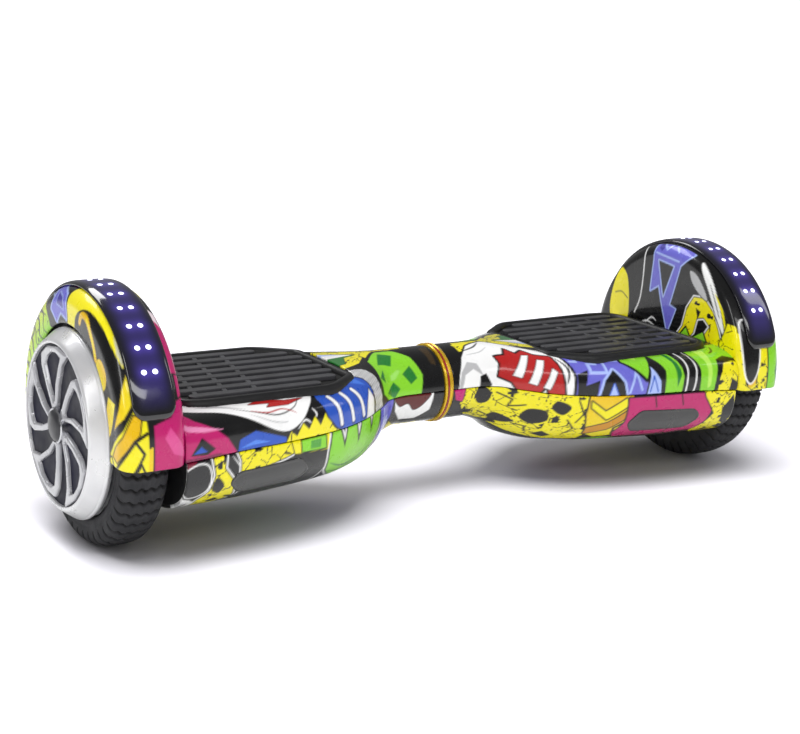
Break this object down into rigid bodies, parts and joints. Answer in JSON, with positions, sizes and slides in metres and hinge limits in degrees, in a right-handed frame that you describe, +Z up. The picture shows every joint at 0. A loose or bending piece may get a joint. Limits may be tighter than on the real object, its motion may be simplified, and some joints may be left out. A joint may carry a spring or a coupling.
{
  "type": "self balancing hoverboard",
  "caption": "Two-wheeled self balancing board: hinged printed shells, ribbed rubber foot pads, lit wheel arches and hub-motor wheels with spoked covers.",
  "frame": {"origin": "on the ground under the middle of the board, midway between the wheels and below the wheel axle", "axes": "+X along the wheel axle to the right as seen from the front, -Y is the front (headlight side), +Z is up"},
  "size_m": [0.584, 0.1834, 0.1785],
  "materials": {
    "printed_shell": "glossy ABS with a printed multi-colour abstract pattern under clear lacquer",
    "gloss_black": "high gloss black",
    "led": "lit blue-white light strip",
    "smoked_lens": "smoked translucent lens",
    "circuit_board": "solder-masked fibreglass board",
    "cast_alloy": "as-cast, lightly blasted",
    "steel": "ground steel",
    "windings": "enamelled copper windings",
    "gold": "polished gold-coloured band",
    "grey_plastic": "satin moulded plastic",
    "cable_sleeve": "braided sleeve",
    "bronze": "sintered bronze",
    "battery_wrap": "heat-shrink wrap",
    "tyre": "solid moulded rubber",
    "chrome": "bright chrome plate",
    "hub_plastic": "dark plastic with bright edges",
    "pad_rubber": "moulded anti-slip rubber"
  },
  "bodies": {
    "left_half": {"upper_shell_left": "printed_shell", "lower_shell_left": "printed_shell", "fender_bumper_left": "gloss_black", "led_strip_left": "led", "headlight_lens_left": "smoked_lens", "headlight_board_left": "circuit_board", "chassis_left": "cast_alloy", "axle_left": "steel", "axle_clamp_left": "cast_alloy", "motor_stator_left": "windings", "gyro_board_left": "circuit_board", "pivot_tube": "steel", "retaining_ring": "steel", "seam_ring": "gold", "main_board": "circuit_board", "speaker": "grey_plastic", "cable_loom": "cable_sleeve"},
    "right_half": {"upper_shell_right": "printed_shell", "lower_shell_right": "printed_shell", "fender_bumper_right": "gloss_black", "led_strip_right": "led", "headlight_lens_right": "smoked_lens", "headlight_board_right": "circuit_board", "chassis_right": "cast_alloy", "axle_right": "steel", "axle_clamp_right": "cast_alloy", "motor_stator_right": "windings", "gyro_board_right": "circuit_board", "pivot_bushing_inner": "bronze", "pivot_bushing_outer": "bronze", "battery_pack": "battery_wrap", "charge_port": "grey_plastic"},
    "left_wheel": {"tyre_left": "tyre", "wheel_rim_left": "cast_alloy", "magnet_ring_left": "steel", "motor_cover_inner_left": "cast_alloy", "motor_cover_outer_left": "cast_alloy", "bearing_inner_left": "steel", "bearing_outer_left": "steel", "hub_ring_left": "chrome", "hub_cover_left": "hub_plastic", "hub_cap_left": "grey_plastic"},
    "left_pad": {"foot_pad_left": "pad_rubber", "pad_plunger_left": "pad_rubber"},
    "right_wheel": {"tyre_right": "tyre", "wheel_rim_right": "cast_alloy", "magnet_ring_right": "steel", "motor_cover_inner_right": "cast_alloy", "motor_cover_outer_right": "cast_alloy", "bearing_inner_right": "steel", "bearing_outer_right": "steel", "hub_ring_right": "chrome", "hub_cover_right": "hub_plastic", "hub_cap_right": "grey_plastic"},
    "right_pad": {"foot_pad_right": "pad_rubber", "pad_plunger_right": "pad_rubber"},
    "power_button": {"power_button": "chrome"},
    "charge_cap": {"charge_port_cap": "pad_rubber"}
  },
  "joints": [
    {"name": "half_twist", "type": "hinge", "parent": "left_half", "child": "right_half", "pos_m": [0.005, 0, 0.084], "axis": [1, 0, 0], "range_deg": [-12, 12]},
    {"name": "left_wheel_spin", "type": "hinge", "parent": "left_half", "child": "left_wheel", "pos_m": [-0.257, 0, 0.084], "axis": [1, 0, 0], "continuous": true},
    {"name": "right_wheel_spin", "type": "hinge", "parent": "right_half", "child": "right_wheel", "pos_m": [0.257, 0, 0.084], "axis": [1, 0, 0], "continuous": true},
    {"name": "left_pad_press", "type": "slide", "parent": "left_half", "child": "left_pad", "axis": [0, 0, -1], "range_m": [0, 0.0015], "stiffness_N_per_m": 20000},
    {"name": "right_pad_press", "type": "slide", "parent": "right_half", "child": "right_pad", "axis": [0, 0, -1], "range_m": [0, 0.0015], "stiffness_N_per_m": 20000},
    {"name": "power_button_press", "type": "slide", "parent": "right_half", "child": "power_button", "axis": [0, -1, 0], "range_m": [0, 0.0015], "stiffness_N_per_m": 2000},
    {"name": "charge_cap_flip", "type": "hinge", "parent": "right_half", "child": "charge_cap", "pos_m": [0.112, 0.07179, 0.0696], "axis": [1, 0, 0], "range_deg": [0, 90]}
  ]
}
